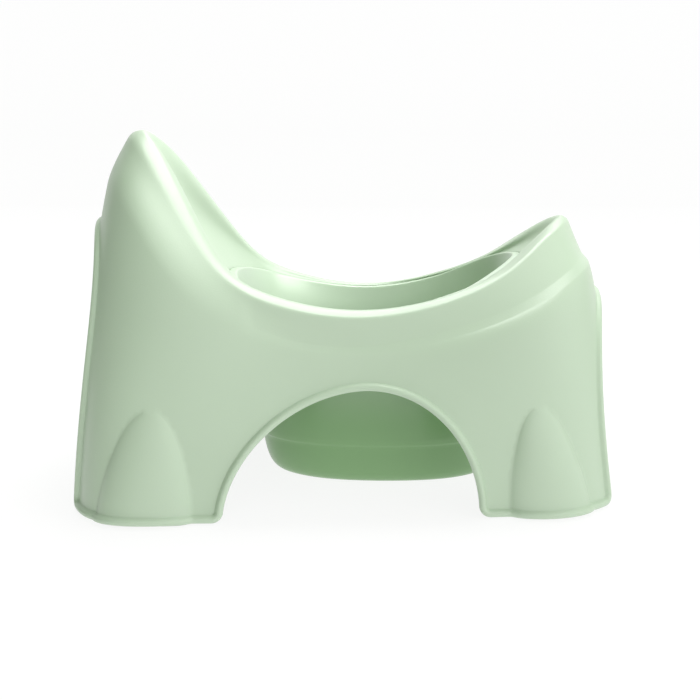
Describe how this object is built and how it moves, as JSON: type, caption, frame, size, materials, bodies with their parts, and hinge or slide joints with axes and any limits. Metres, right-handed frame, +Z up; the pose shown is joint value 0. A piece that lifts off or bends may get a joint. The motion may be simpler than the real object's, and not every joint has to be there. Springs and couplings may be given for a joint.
{
  "type": "potty training chair",
  "caption": "One-piece moulded potty chair with backrest, splash guard and arched legs, and a lift-out oval bowl.",
  "frame": {"origin": "middle of the footprint on the floor", "axes": "+X to the splash guard at the front, +Y to the sitter's left, +Z up"},
  "size_m": [0.3893, 0.321, 0.2681],
  "materials": {
    "shell": "satin mint-green injection-moulded polypropylene",
    "bowl": "satin mint-green injection-moulded polypropylene",
    "pad": "matt pale green anti-slip rubber"
  },
  "bodies": {
    "chair": {"chair_shell": "shell", "foot_pad_front_left": "pad", "foot_pad_front_right": "pad", "foot_pad_back_left": "pad", "foot_pad_back_right": "pad"},
    "bowl": {"bowl": "bowl"}
  },
  "joints": [
    {"name": "bowl_lift", "type": "slide", "parent": "chair", "child": "bowl", "axis": [0, 0, 1], "range_m": [0, 0.28]}
  ]
}
